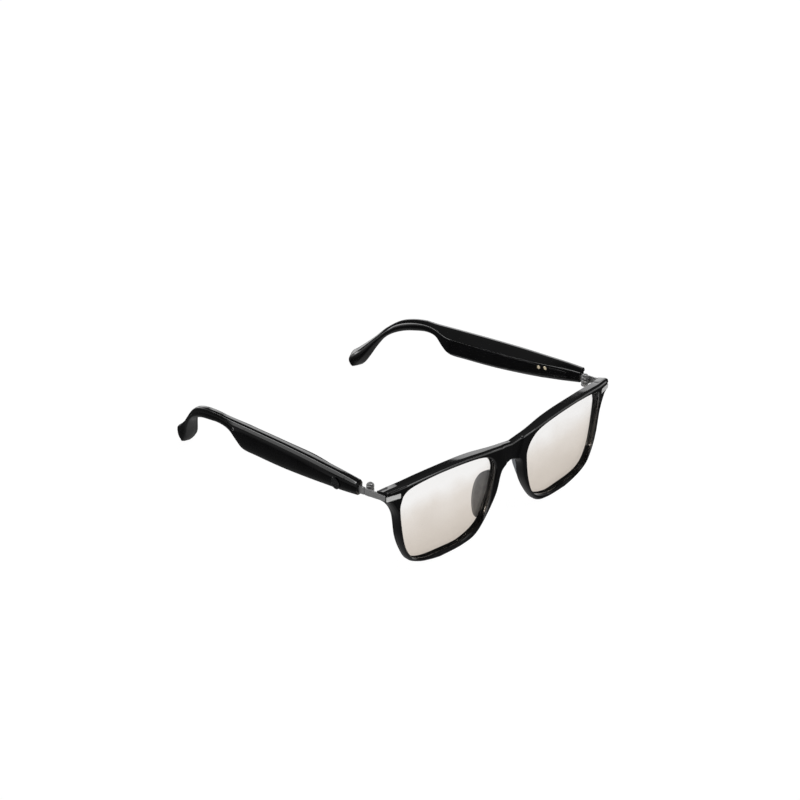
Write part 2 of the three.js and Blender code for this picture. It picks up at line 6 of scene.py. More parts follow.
import bmesh
import bpy
import numpy as np
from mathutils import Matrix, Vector


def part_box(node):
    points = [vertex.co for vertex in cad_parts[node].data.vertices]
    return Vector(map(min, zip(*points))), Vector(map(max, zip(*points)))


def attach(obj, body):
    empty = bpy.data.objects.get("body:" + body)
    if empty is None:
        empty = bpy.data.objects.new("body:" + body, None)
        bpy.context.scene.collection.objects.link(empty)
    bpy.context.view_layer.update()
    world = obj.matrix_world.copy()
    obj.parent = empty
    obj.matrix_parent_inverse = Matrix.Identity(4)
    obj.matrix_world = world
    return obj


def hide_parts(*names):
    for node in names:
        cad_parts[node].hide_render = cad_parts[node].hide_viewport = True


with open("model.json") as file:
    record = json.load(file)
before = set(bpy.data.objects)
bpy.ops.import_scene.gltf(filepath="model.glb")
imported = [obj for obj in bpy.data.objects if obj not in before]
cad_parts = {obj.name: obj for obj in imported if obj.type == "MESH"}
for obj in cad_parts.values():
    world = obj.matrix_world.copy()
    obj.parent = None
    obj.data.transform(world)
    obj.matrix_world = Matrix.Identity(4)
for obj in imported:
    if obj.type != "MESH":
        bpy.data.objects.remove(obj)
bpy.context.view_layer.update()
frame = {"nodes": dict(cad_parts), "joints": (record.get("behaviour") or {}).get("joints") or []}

MM = 0.001

# Where the frame puts things, in millimetres
JOINTS = {joint["name"]: joint for joint in frame["joints"]}
HINGE_X = JOINTS["temple_left_fold"]["pos_m"][0] / MM
HINGE_ROW_Y = JOINTS["temple_left_fold"]["pos_m"][1] / MM
HINGE_BACK = 18.1
FRONT_ROW_Y = HINGE_ROW_Y - HINGE_BACK


def box_mm(node):
    low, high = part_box(node)
    return np.array(low) / MM, np.array(high) / MM


# ---------------------------------------------------------------- shapes shared by the pieces

HALF_WIDTH = 73
BROW_HEIGHT = 44
LEAN = 0.047
WRAP = 4.55
END_SWEEP = 1.2
LENS_CENTRE = np.array([37.0, 25.0])
LENS_SETBACK = 1.1
LENS_THICKNESS = 1.8

BROW = [[0, 42.6], [7.5, 43.8], [18, 45.1], [32, 46.7], [50, 47.1], [64, 46.6], [72.8, 45.5]]
END_CORNER = [[72.6, 40.6]]
TEMPORAL = [
    [70.7, 39.6], [67.2, 32.3], [65.6, 20.3], [63.1, 12.2], [59.6, 6], [54.3, 2.8], [48, 1], [42, 0],
]
NASAL = [[36, 0], [28.4, 0.4], [20.9, 2.4], [14.9, 8.7], [8.6, 19.4], [5.6, 30.4], [0, 33.2]]
OPENING = [
    [10.6, 30.2], [11.1, 35.7], [13.9, 39.8], [18.6, 42.4], [29, 44.1], [44.5, 44.9], [58, 44.1],
    [63.4, 42], [65.2, 37], [65, 31], [63.4, 19.9], [61.2, 12.2], [57.2, 6.4], [50.5, 3.8], [40, 3.1],
    [28.5, 3.2], [18.3, 7.7], [13.4, 17.1],
]
TOP_EDGE = [
    [3.8, 45.4], [14, 45], [25, 44.2], [40, 43.1], [58, 41.4], [75, 39.6], [84, 38.6], [91, 37.8],
    [98, 37], [106, 36.4], [115, 34.5], [123, 31.2], [130.2, 25.9], [136.6, 19.4], [142, 14.2],
    [147.4, 9.6], [151.8, 6], [152.3, 3], [150.2, 0.8], [147.4, 0.05],
]
BOTTOM_EDGE = [
    [4.4, 37.6], [14, 35.3], [25, 33.2], [39, 30.5], [57, 27.5], [75, 25.3], [85.6, 24.3], [90.4, 26.6],
    [96, 30.3], [103.5, 30.8], [112, 28.9], [120.3, 26.3], [127.4, 22.7], [132, 18.8], [135.6, 13.3],
    [138.6, 7.6], [141.2, 3.6], [143.4, 1.2], [145, 0.1], [146.2, 0],
]


def smooth(value, low, high):
    t = np.clip((value - low) / (high - low), 0, 1)
    return t * t * (3 - 2 * t)


def mix(a, b, t):
    return a + (b - a) * t


def curve_at(knots, share, closed=False):
    """Points of a smooth curve through the knots, at shares of its length from 0 to 1."""
    knots = np.array(knots, float)
    count = len(knots)
    place = np.asarray(share, float) * (count if closed else count - 1)
    start = np.floor(place).astype(int)
    if not closed:
        start = np.minimum(start, count - 2)
    t = (place - start)[:, None]

    def knot(offset):
        index = start + offset
        return knots[index % count] if closed else knots[np.clip(index, 0, count - 1)]

    before, a, b, after = knot(-1), knot(0), knot(1), knot(2)
    slope_a, slope_b = (b - before) / 2, (after - a) / 2
    cubic = (2 * a - 2 * b + slope_a + slope_b) * t**3
    return cubic + (-3 * a + 3 * b - 2 * slope_a - slope_b) * t**2 + slope_a * t + a


def unit(vectors):
    return vectors / np.maximum(np.linalg.norm(vectors, axis=-1, keepdims=True), 1e-9)


def round_rings(rings, radii, steps=3):
    """Rounds the corners of closed rings. rings is stations x corners x 3, radii one per corner."""
    before = np.roll(rings, 1, axis=1) - rings
    after = np.roll(rings, -1, axis=1) - rings
    radii = np.asarray(radii, float)[None, :, None]
    to_before = np.minimum(radii, 0.45 * np.linalg.norm(before, axis=2, keepdims=True))
    to_after = np.minimum(radii, 0.45 * np.linalg.norm(after, axis=2, keepdims=True))
    a = rings + unit(before) * to_before
    b = rings + unit(after) * to_after
    parts = [
        a * (1 - t) ** 2 + rings * 2 * t * (1 - t) + b * t**2 for t in np.linspace(0, 1, steps)
    ]
    return np.stack(parts, axis=2).reshape(len(rings), -1, 3)


# ---------------------------------------------------------------- making objects

MATERIALS = {}


def add_object(name, points, faces, material, body, slot, replaced=(), side=1, sharp=32):
    """Makes a smooth-shaded piece from points in millimetres; side -1 gives the mirror image."""
    points = np.array(points, float)
    if side < 0:
        points = points * [-1, 1, 1]
        faces = [face[::-1] for face in faces]
    mesh = bpy.data.meshes.new(name)
    mesh.from_pydata((points * MM).tolist(), [], [list(map(int, face)) for face in faces])
    mesh.validate()
    piece = bpy.data.objects.new(name, mesh)
    bpy.context.scene.collection.objects.link(piece)
    finish_mesh(piece, sharp)
    mesh.materials.append(MATERIALS[material])
    if replaced:
        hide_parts(*replaced)
    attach(piece, body)
    return piece


def finish_mesh(piece, sharp):
    """Welds the mesh, turns its faces outwards and sets smooth shading with crisp wide angles."""
    mesh = piece.data
    work = bmesh.new()
    work.from_mesh(mesh)
    bmesh.ops.remove_doubles(work, verts=work.verts, dist=2e-6)
    bmesh.ops.dissolve_degenerate(work, edges=work.edges, dist=1e-7)
    bmesh.ops.recalc_face_normals(work, faces=work.faces)
    work.to_mesh(mesh)
    work.free()
    mesh.shade_smooth()
    mesh.set_sharp_from_angle(angle=math.radians(sharp))
    weighted = piece.modifiers.new("weighted", "WEIGHTED_NORMAL")
    weighted.keep_sharp = True
    weighted.weight = 50


def tube(rings, loop=False):
    """Points and faces of a tube through rings of equal counts, closed at its ends or to a loop."""
    stations, corners = rings.shape[:2]
    points = rings.reshape(-1, 3)
    faces = []
    for i in range(stations if loop else stations - 1):
        j = (i + 1) % stations
        for k in range(corners):
            m = (k + 1) % corners
            faces.append([i * corners + k, i * corners + m, j * corners + m, j * corners + k])
    if not loop:
        faces.append(list(range(corners)))
        faces.append([(stations - 1) * corners + k for k in reversed(range(corners))])
    return points, faces


def inset_outline(outline, distance):
    outline = np.array(outline, float)
    along = unit(np.roll(outline, -1, axis=0) - np.roll(outline, 1, axis=0))
    x, y = outline[:, 0], outline[:, 1]
    area = np.sum(x * np.roll(y, -1) - np.roll(x, -1) * y)
    turn = 1 if area > 0 else -1
    normal = np.stack([-along[:, 1], along[:, 0]], axis=1) * turn
    return outline + normal * distance


def rounded(outline, radius, steps=4):
    """A closed outline with its corners rounded."""
    flat = np.array(outline, float)
    ring = np.concatenate([flat, np.zeros((len(flat), 1))], axis=1)[None]
    return round_rings(ring, [radius] * len(flat), steps)[0, :, :2]


def prism(outline, levels, place):
    """A solid from an outline at several levels, each an inset and a depth, put in place."""
    rings = []
    for inset, depth in levels:
        ring = inset_outline(outline, inset)
        rings.append(place(ring[:, 0], ring[:, 1], np.full(len(ring), float(depth))))
    return tube(np.stack(rings))


def bevelled(low, high, bevel):
    """Levels of a slab with small bevels at both faces."""
    return [(bevel, low), (0.3 * bevel, low + 0.3 * bevel), (0, low + bevel),
            (0, high - bevel), (0.3 * bevel, high - 0.3 * bevel), (bevel, high)]


def turned(profile, place, sides=48):
    """A turned solid: profile is a list of (radius, height)."""
    angle = np.linspace(0, 2 * math.pi, sides, endpoint=False)
    unit_circle = np.stack([np.cos(angle), np.sin(angle)], axis=1)
    rings = []
    for radius, height in profile:
        ring = unit_circle * radius
        rings.append(place(ring[:, 0], ring[:, 1], np.full(sides, float(height))))
    return tube(np.stack(rings))


def joined(*meshes):
    points, faces, start = [], [], 0
    for some_points, some_faces in meshes:
        points.append(some_points)
        faces.extend([[k + start for k in face] for face in some_faces])
        start += len(some_points)
    return np.concatenate(points), faces


def cut(piece, cutters):
    """Subtracts simple closed meshes, each points and faces in millimetres, from a piece."""
    for points, faces in cutters:
        mesh = bpy.data.meshes.new("cutter")
        mesh.from_pydata((np.array(points) * MM).tolist(), [], [list(map(int, f)) for f in faces])
        cutter = bpy.data.objects.new("cutter", mesh)
        bpy.context.scene.collection.objects.link(cutter)
        finish_mesh(cutter, 30)
        boolean = piece.modifiers.new("cut", "BOOLEAN")
        boolean.object = cutter
        boolean.operation = "DIFFERENCE"
        boolean.solver = "EXACT"
        weighted = piece.modifiers["weighted"]
        piece.modifiers.remove(weighted)
        bpy.context.view_layer.update()
        evaluated = piece.evaluated_get(bpy.context.evaluated_depsgraph_get())
        result = bpy.data.meshes.new_from_object(evaluated)
        materials = list(piece.data.materials)
        piece.modifiers.clear()
        piece.data = result
        piece.data.materials.clear()
        for material in materials:
            piece.data.materials.append(material)
        bpy.data.objects.remove(cutter)
        finish_mesh(piece, 32)


# ---------------------------------------------------------------- materials


def new_material(name, rough, base, metallic=0.0, **sockets):
    material = bpy.data.materials.new(name)
    material.use_nodes = True
    shader = material.node_tree.nodes["Principled BSDF"]
    shader.inputs["Roughness"].default_value = rough
    shader.inputs["Base Color"].default_value = (*base, 1)
    shader.inputs["Metallic"].default_value = metallic
    for key, value in sockets.items():
        shader.inputs[key.replace("_", " ")].default_value = value
    MATERIALS[name] = material
    return material


def add_node(material, kind, **inputs):
    node = material.node_tree.nodes.new(kind)
    for key, value in inputs.items():
        node.inputs[key].default_value = value
    return node


def link(material, a, b):
    material.node_tree.links.new(a, b)


def noise(material, scale, detail=4.0, stretch=(1, 1, 1)):
    """Noise in the piece's own coordinates, in metres."""
    coords = material.node_tree.nodes.new("ShaderNodeTexCoord")
    mapping = add_node(material, "ShaderNodeMapping", Scale=stretch)
    texture = add_node(material, "ShaderNodeTexNoise", Scale=scale, Detail=detail)
    link(material, coords.outputs["Object"], mapping.inputs["Vector"])
    link(material, mapping.outputs["Vector"], texture.inputs["Vector"])
    return texture.outputs["Fac"]


def ramp(material, factor, stops):
    node = material.node_tree.nodes.new("ShaderNodeValToRGB")
    elements = node.color_ramp.elements
    while len(elements) < len(stops):
        elements.new(0.5)
    for element, (position, colour) in zip(elements, stops):
        element.position = position
        element.color = (*colour, 1)
    link(material, factor, node.inputs["Fac"])
    return node.outputs["Color"]


def shades(material, socket, factor, low, high, tint=(1, 1, 1)):
    """Drives a socket between two grey levels, or two shades of a tint."""
    stops = [(0.3, [low * c for c in tint]), (0.7, [high * c for c in tint])]
    link(material, ramp(material, factor, stops), shader_of(material).inputs[socket])


def shader_of(material):
    return material.node_tree.nodes["Principled BSDF"]


def bump(material, height, strength, distance):
    node = material.node_tree.nodes.new("ShaderNodeBump")
    node.inputs["Strength"].default_value = strength
    node.inputs["Distance"].default_value = distance
    link(material, height, node.inputs["Height"])
    link(material, node.outputs["Normal"], shader_of(material).inputs["Normal"])


# Lens colour from the lowest edge to the brow
LENS_TINTS = [
    (0.1, (0.56, 0.50, 0.44)), (0.5, (0.67, 0.61, 0.55)), (0.78, (0.77, 0.72, 0.67)),
    (1.0, (0.92, 0.91, 0.90)),
]


def gloss_black():
    m = new_material("gloss_black", 0.08, (0.003, 0.003, 0.003), IOR=1.5)
    shades(m, "Base Color", noise(m, 90), 0.002, 0.004, (1, 1, 1.1))
    shades(m, "Roughness", noise(m, 80, 3), 0.06, 0.1)


def lens_glass():
    """Clear at the brow, deepening to a warm tint lower down, with faint cloudy patches."""
    m = new_material("lens_glass", 0.0, (0.9, 0.85, 0.8), IOR=1.0, Transmission_Weight=1.0,
                     Coat_Weight=0.7, Coat_Roughness=0.02)
    nodes = m.node_tree.nodes
    coords = nodes.new("ShaderNodeTexCoord")
    split = nodes.new("ShaderNodeSeparateXYZ")
    link(m, coords.outputs["Object"], split.inputs["Vector"])
    height = add_node(m, "ShaderNodeMapRange")
    height.inputs["From Min"].default_value = 0.0
    height.inputs["From Max"].default_value = 0.046
    link(m, split.outputs["Z"], height.inputs["Value"])
    cloud = add_node(m, "ShaderNodeMath")
    cloud.operation = "MULTIPLY_ADD"
    cloud.inputs[1].default_value = 0.35
    link(m, noise(m, 60, 4), cloud.inputs[0])
    link(m, height.outputs["Result"], cloud.inputs[2])
    tint = ramp(m, cloud.outputs["Value"], LENS_TINTS)
    link(m, tint, shader_of(m).inputs["Base Color"])


def pad_grey():
    m = new_material("pad_grey", 0.3, (0.22, 0.235, 0.25))
    shades(m, "Base Color", noise(m, 500, 5), 0.2, 0.27, (0.94, 1, 1.08))
    shades(m, "Roughness", noise(m, 700, 5), 0.26, 0.36)
    bump(m, noise(m, 900, 4), 0.05, 0.0001)


def metal(name, low, high, rough_low, rough_high, tint=(1, 1, 1), stretch=(1, 1, 30), strength=0.06,
          metallic=1.0):
    m = new_material(name, (rough_low + rough_high) / 2, [high * c for c in tint], metallic)
    grain = noise(m, 500, 5, stretch)
    shades(m, "Base Color", grain, low, high, tint)
    shades(m, "Roughness", grain, rough_low, rough_high)
    bump(m, noise(m, 2500, 3, stretch), strength, 0.00003)


def plain_plastic(name, tint, rough, scale=700.0):
    m = new_material(name, rough, tint)
    shades(m, "Base Color", noise(m, scale, 5), 0.8, 1.15, tint)
    shades(m, "Roughness", noise(m, scale * 1.7, 4), rough * 0.85, min(1, rough * 1.15))
    bump(m, noise(m, scale * 3, 3), 0.1, 0.00004)
    return m


def board_green():
    m = plain_plastic("board_green", (0.012, 0.10, 0.04), 0.4)
    nodes = m.node_tree.nodes
    coords = nodes.new("ShaderNodeTexCoord")
    tracks = add_node(m, "ShaderNodeTexBrick", Scale=900.0)
    tracks.inputs["Color1"].default_value = (0.012, 0.10, 0.04, 1)
    tracks.inputs["Color2"].default_value = (0.016, 0.13, 0.05, 1)
    tracks.inputs["Mortar"].default_value = (0.25, 0.2, 0.08, 1)
    mapping = add_node(m, "ShaderNodeMapping", Rotation=(math.radians(90), 0, math.radians(90)))
    link(m, coords.outputs["Object"], mapping.inputs["Vector"])
    link(m, mapping.outputs["Vector"], tracks.inputs["Vector"])
    link(m, tracks.outputs["Color"], shader_of(m).inputs["Base Color"])


gloss_black()
lens_glass()
pad_grey()
metal("satin_silver", 0.66, 0.78, 0.3, 0.4, (1, 1, 0.985), metallic=0.25)
metal("gunmetal", 0.28, 0.36, 0.3, 0.4, stretch=(1, 30, 1), metallic=0.55)
metal("barrel_steel", 0.5, 0.6, 0.25, 0.35, metallic=0.5)
metal("gold", 0.82, 0.95, 0.25, 0.34, (1, 0.86, 0.62), (1, 1, 1), metallic=0.4)
metal("battery_foil", 0.45, 0.58, 0.3, 0.45, (1, 1, 1.01), (1, 1, 1), 0.3)
metal("microphone_can", 0.5, 0.6, 0.25, 0.35, stretch=(1, 1, 1))
metal("grille_steel", 0.04, 0.06, 0.35, 0.5, stretch=(1, 1, 1))
plain_plastic("speaker_black", (0.02, 0.02, 0.021), 0.45)
plain_plastic("flex_amber", (0.4, 0.19, 0.03), 0.35)
plain_plastic("mark_black", (0.012, 0.012, 0.013), 0.22)
board_green()

# ---------------------------------------------------------------- front


def front_y(x, z):
    """How far back the front face is, measured from the bridge's front."""
    sweep = END_SWEEP * smooth(np.abs(x), 62, HALF_WIDTH)
    return WRAP * (x / HALF_WIDTH) ** 2 + sweep + LEAN * (BROW_HEIGHT - z)


def lens_y(x, z):
    return WRAP * (x / HALF_WIDTH) ** 2 + LEAN * (BROW_HEIGHT - z) + LENS_SETBACK


def front_depth(x, z):
    rim = mix(3.7, 5.2, np.clip(z / BROW_HEIGHT, 0, 1))
    inboard = mix(4.1, rim, smooth(np.abs(x), 8, 24))
    return mix(inboard, 6.4, smooth(np.abs(x), 62, 70) * smooth(z, 36, 40))


def crease_y(x, z):
    """The slightly hollow facet between the two creases of the bridge."""
    half = mix(4.4, 7.6, np.clip((z - 33) / 11.5, 0, 1.1))
    inside = half - np.abs(x)
    return 0.45 * smooth(inside, 0, 1.8) + 0.3 * np.clip(inside / half, 0, 1)


def opening_at(angles):
    """Points and outward normals of the lens opening, at angles round the lens centre."""
    dense = curve_at(OPENING, np.linspace(0, 1, 1440, endpoint=False), closed=True)
    along = unit(np.roll(dense, -1, axis=0) - np.roll(dense, 1, axis=0))
    normal = np.stack([-along[:, 1], along[:, 0]], axis=1)
    bearing = np.arctan2(dense[:, 1] - LENS_CENTRE[1], dense[:, 0] - LENS_CENTRE[0])
    order = np.argsort(bearing)
    columns = [np.interp(angles, bearing[order], values[order], period=2 * math.pi)
               for values in (dense[:, 0], dense[:, 1], normal[:, 0], normal[:, 1])]
    return np.stack(columns[:2], axis=1), unit(np.stack(columns[2:], axis=1))


CHAMFER, FACE_INSET, BACK_INSET, BACK_OUTER_INSET = 1.15, 0.55, 0.4, 0.6
GROOVE_DEPTH, GROOVE_PLAY = 0.95, 0.08
FACE_COLUMNS, MIDDLE_STATIONS = 18, 14
END_DROP = 1.3
FRONT_TOP = 47.09


def front_half():
    """One half of the front: a loop of sections round the lens opening."""
    brow = curve_at(BROW, np.linspace(0, 1, 90))
    temporal = curve_at(TEMPORAL, np.linspace(0, 1, 120))
    nasal = curve_at(NASAL, np.linspace(0, 1, 110))
    outer = np.concatenate([brow, END_CORNER, temporal, nasal])
    keep = np.concatenate([[True], np.linalg.norm(np.diff(outer, axis=0), axis=1) > 1e-6])
    outer = outer[keep]
    along = unit(np.gradient(outer, axis=0))
    normal = np.stack([-along[:, 1], along[:, 0]], axis=1)
    normal[0] = [0, 1]
    normal[-1] = [0, -1]
    middle_z = np.linspace(outer[-1, 1] + CHAMFER, outer[0, 1] - CHAMFER, MIDDLE_STATIONS)
    middle = np.stack([np.zeros(MIDDLE_STATIONS), middle_z], axis=1)
    outer = np.concatenate([outer, middle])
    normal = np.concatenate([normal, np.zeros((MIDDLE_STATIONS, 2))])
    angles = np.arctan2(outer[:, 1] - LENS_CENTRE[1], outer[:, 0] - LENS_CENTRE[0])
    inner, inner_normal = opening_at(angles)

    groove_low = LENS_SETBACK - GROOVE_PLAY
    groove_high = LENS_SETBACK + LENS_THICKNESS + GROOVE_PLAY
    # Each corner: edge or face, inset or share of the face, fixed depth, share of full depth, rounding
    corners = [("face", share, 0.0, 0.0, 0.0) for share in np.linspace(0, 1, FACE_COLUMNS)[1:-1]]
    corners = [("in", FACE_INSET, 0.0, 0.0, 0.16)] + corners + [
        ("out", CHAMFER, 0.0, 0.0, 0.08),
        ("out", 0.45, 0.32, 0.0, 0.12),
        ("out", 0.0, 1.4, 0.0, 0.15),
        ("out", 0.0, 2.2, 0.0, 0.0),
        ("out", 0.0, -0.6, 1.0, 0.16),
        ("out", BACK_OUTER_INSET, 0.0, 1.0, 0.16),
    ] + [("back", share, 0.0, 1.0, 0.0) for share in np.linspace(1, 0, FACE_COLUMNS)[1:-1]] + [
        ("in", BACK_INSET, 0.0, 1.0, 0.14),
        ("in", 0.0, -0.4, 1.0, 0.14),
        ("in", 0.0, groove_high, 0.0, 0.05),
        ("in", GROOVE_DEPTH, groove_high, 0.0, 0.0),
        ("in", GROOVE_DEPTH, groove_low, 0.0, 0.0),
        ("in", 0.0, groove_low, 0.0, 0.05),
        ("in", 0.0, 0.5, 0.0, 0.14),
    ]
    rings = np.zeros((len(outer), len(corners), 3))
    for k, (edge, amount, fixed, share, _) in enumerate(corners):
        if edge == "in":
            plan = inner + inner_normal * amount
        elif edge == "out":
            plan = outer - normal * amount
        else:
            insets = {"face": (FACE_INSET, CHAMFER), "back": (BACK_INSET, BACK_OUTER_INSET)}
            inset_in, inset_out = insets[edge]
            plan = mix(inner + inner_normal * inset_in, outer - normal * inset_out, amount)
        x, z = plan[:, 0], plan[:, 1]
        depth = fixed + share * front_depth(x, z)
        reach = depth / front_depth(x, z)
        # The lens groove follows the lens, which has no sweep at its end
        follow = front_y(x, z)
        if edge == "in" and fixed >= groove_low:
            follow = lens_y(x, z) - LENS_SETBACK
        y = follow + depth + crease_y(x, z) * (1 - reach)
        at_end = smooth(np.abs(x), 62, 70)
        drop = END_DROP * smooth(reach, 0.5, 1) * at_end * smooth(z, 43, 45)
        rings[:, k] = np.stack([x, FRONT_ROW_Y + y, z - drop], axis=1)
    rings = round_rings(rings, [corner[4] for corner in corners], 3)
    points, faces = tube(rings, loop=True)
    faces = [face for face in faces if max(abs(points[k][0]) for k in face) > 1e-6]
    return points, faces


def make_front():
    """Both halves of the front, with the brow kept just under the CAD's top."""
    points, faces = front_half()
    points[:, 2] = np.minimum(points[:, 2], FRONT_TOP)
    mirrored = points * [-1, 1, 1]
    both = joined((points, faces), (mirrored, [face[::-1] for face in faces]))
    add_object("front_look", *both, "gloss_black", "front", "gloss_black", ["front_frame"])


LENS_IN_GROOVE, LENS_ROUNDING = 0.8, 0.15


def make_lens(side, word):
    """A disc of rings bent with the front, with a rounded edge hidden in the groove."""
    angles = np.linspace(-math.pi, math.pi, 180, endpoint=False)
    edge, normal = opening_at(angles)
    edge = edge + normal * LENS_IN_GROOVE
    rings = []
    shares = [*np.linspace(0.02, 0.97, 22), 0.985, 0.996, 1.0]
    for face, order in ((0.0, shares), (1.0, shares[::-1])):
        for share in order:
            plan = LENS_CENTRE + (edge - LENS_CENTRE) * share
            x, z = plan[:, 0], plan[:, 1]
            rounding = LENS_ROUNDING if share == 1.0 else 0.0
            depth = LENS_THICKNESS * face + rounding * (1 - 2 * face)
            rings.append(np.stack([x, FRONT_ROW_Y + lens_y(x, z) + depth, z], axis=1))
    points, faces = tube(np.stack(rings))
    add_object(f"lens_look_{word}", points, faces, "lens_glass", "front", "lens_glass",
               [f"lens_{word}"], side)


def make_plate(side, word):
    outline = rounded([[65.9, 41.1], [72.4, 41.1], [72.4, 43.5], [65.9, 43.5]], 0.25)

    def place(x, z, depth):
        return np.stack([x, FRONT_ROW_Y + front_y(x, z) + depth, z], axis=1)

    mesh = prism(outline, bevelled(-0.14, 0.6, 0.12), place)
    add_object(f"plate_look_{word}", *mesh, "satin_silver", "front", "satin_silver",
               [f"front_plate_{word}"], side)


PAD_LOW, PAD_HIGH = 8.5, 30.0
PAD_REACH, PAD_FLARE = 6.2, 0.38
PAD_HALF_WIDTH = 1.35
PAD_RIM, PAD_RIM_SLOPE = 7.4, 0.42


def make_pad(side, word):
    """A fin that grows out of the back of the rim and flares outwards."""
    outline = [
        [0, PAD_LOW], [0.35, 10], [0.7, 14], [0.94, 19], [1, 23.5], [0.85, 27], [0.5, 29], [0, PAD_HIGH],
    ]
    edge = curve_at(outline, np.linspace(0, 1, 70))
    turn = np.linspace(-math.pi / 2, math.pi / 2, 25)
    across = np.sign(np.sin(turn)) * np.abs(np.sin(turn)) ** 0.75
    along = np.cos(turn) ** 0.6
    rings = []
    for share, z in edge:
        share = max(share, 0.0)
        z = min(max(z, PAD_LOW), PAD_HIGH)
        full = PAD_HALF_WIDTH * math.sqrt(1 - (1 - min(1, share / 0.5 + 0.02)) ** 2)
        back = share * along
        back[0] = back[-1] = -0.08
        rim = PAD_RIM + PAD_RIM_SLOPE * (PAD_HIGH - z)
        half = full * mix(1, 0.75, np.clip(back, 0, 1))
        x = rim + PAD_FLARE * PAD_REACH * back + across * half
        y = front_y(rim, z) + front_depth(rim, z) + 0.05 + PAD_REACH * back
        rings.append(np.stack([x, FRONT_ROW_Y + y, np.full(len(x), z)], axis=1))
    points, faces = tube(np.stack(rings))
    add_object(f"pad_look_{word}", points, faces, "pad_grey", "front", "pad_grey",
               [f"nose_pad_{word}"], side, sharp=60)


# ---------------------------------------------------------------- hinge

STRIP_TOP, STRIP_TOP_SLOPE = 42.9, 0.111
STRIP_BOTTOM, STRIP_BOTTOM_SLOPE = 39.35, 0.183
STRIP_INNER, STRIP_OUTER, STRIP_BEVEL, STRIP_ROUNDING = 2.0, 2.85, 0.16, 0.3
FRONT_STRIP, TEMPLE_STRIP = (-11.5, 0.65), (0.95, 13)
BARREL_LOW, BARREL_HIGH = 38.4, 43.7
KNUCKLE, KNUCKLE_RADIUS, KNUCKLE_BEVEL, KNUCKLE_GAP = 1.55, 1.7, 0.22, 0.3
WEB_REACH, WEB_BEVEL, WEB_OVERLAP = 2.3, 0.1, 0.05
WEB_LOW, WEB_HIGH = 39.5, 42.5


def at_hinge(x, y, z):
    """Hinge coordinates to the row frame: x outwards, y back and z up."""
    return np.stack([HINGE_X + x, HINGE_ROW_Y + y, z], axis=1)


def strip(from_y, to_y):
    outline = [[y, STRIP_BOTTOM - STRIP_BOTTOM_SLOPE * y] for y in (from_y, to_y)]
    outline += [[y, STRIP_TOP - STRIP_TOP_SLOPE * y] for y in (to_y, from_y)]
    levels = bevelled(STRIP_INNER, STRIP_OUTER, STRIP_BEVEL)
    return prism(rounded(outline, STRIP_ROUNDING), levels, lambda y, z, depth: at_hinge(depth, y, z))


def knuckle(low, high):
    radius, soft = KNUCKLE_RADIUS, KNUCKLE_BEVEL
    profile = [(radius - soft, low), (radius - 0.3 * soft, low + 0.3 * soft), (radius, low + soft),
               (radius, high - soft), (radius - 0.3 * soft, high - 0.3 * soft), (radius - soft, high)]
    return turned(profile, at_hinge)


def web(low, high, from_y, to_y):
    corners = [[0, from_y], [WEB_REACH, from_y], [WEB_REACH, to_y], [0, to_y]]
    return prism(rounded(corners, WEB_BEVEL), bevelled(low, high, WEB_BEVEL), at_hinge)


def make_hinge(side, word):
    leaf = joined(
        strip(*FRONT_STRIP),
        knuckle(BARREL_LOW, BARREL_LOW + KNUCKLE),
        knuckle(BARREL_HIGH - KNUCKLE, BARREL_HIGH),
        web(WEB_LOW, BARREL_LOW + KNUCKLE - WEB_OVERLAP, -1.6, 0),
        web(BARREL_HIGH - KNUCKLE + WEB_OVERLAP, WEB_HIGH, -1.6, 0),
    )
    add_object(f"front_leaf_look_{word}", *leaf, "gunmetal", "front", "gunmetal",
               [f"hinge_front_leaf_{word}"], side)
    low, high = BARREL_LOW + KNUCKLE + KNUCKLE_GAP, BARREL_HIGH - KNUCKLE - KNUCKLE_GAP
    temple_web = web(low + WEB_OVERLAP, high - WEB_OVERLAP, 1, 1.6)
    temple_leaf = joined(strip(*TEMPLE_STRIP), knuckle(low, high), temple_web)
    add_object(f"temple_leaf_look_{word}", *temple_leaf, "gunmetal", f"temple_{word}", "gunmetal",
               [f"temple_hinge_leaf_{word}"], side)
    head = BARREL_HIGH + 0.3
    profile = [(0.5, BARREL_LOW + 0.1), (0.62, BARREL_LOW + 0.25), (0.62, head), (1.15, head),
               (1.3, head + 0.08), (1.3, head + 0.2), (1.18, head + 0.32), (0.85, head + 0.43),
               (0.6, head + 0.45), (0.55, head + 0.4), (0.5, head + 0.15), (0.05, head + 0.12)]
    screw = turned(profile, at_hinge)
    add_object(f"screw_look_{word}", *screw, "barrel_steel", "front", "barrel_steel",
               [f"hinge_screw_{word}"], side)


# ---------------------------------------------------------------- temple

TEMPLE_FRONT = 3.8
OUTER_AT_FRONT, TOE_IN = 4.7, 0.038
HOOK_FROM, HOOK_CURL = 104, 0.0045
TIP_FLARE = 2.6
FRONT_THICKNESS, BODY_THICKNESS, NECK_THICKNESS, TIP_THICKNESS = 4.0, 7.5, 4.4, 9.0
TOP_WIDTH, BOTTOM_WIDTH = 2.8, 4.8
HIGH_SHOULDER, LOW_SHOULDER = 0.74, 0.17
LID_FROM, LID_TO = 11.5, 84.0


def outer_x(y):
    """The temple's outer face: straight and toed in, curled in at the hook, flared at the tip."""
    curl = HOOK_CURL * np.maximum(0, y - HOOK_FROM) ** 2
    flare = TIP_FLARE * smooth(y, 141, 152)
    return OUTER_AT_FRONT - TOE_IN * (y - TEMPLE_FRONT) - curl + flare


def thickness(y):
    front_part = mix(FRONT_THICKNESS, BODY_THICKNESS, smooth(y, TEMPLE_FRONT, 45))
    neck = mix(front_part, NECK_THICKNESS, smooth(y, 84, 102))
    return mix(neck, TIP_THICKNESS, smooth(y, 126, 147))


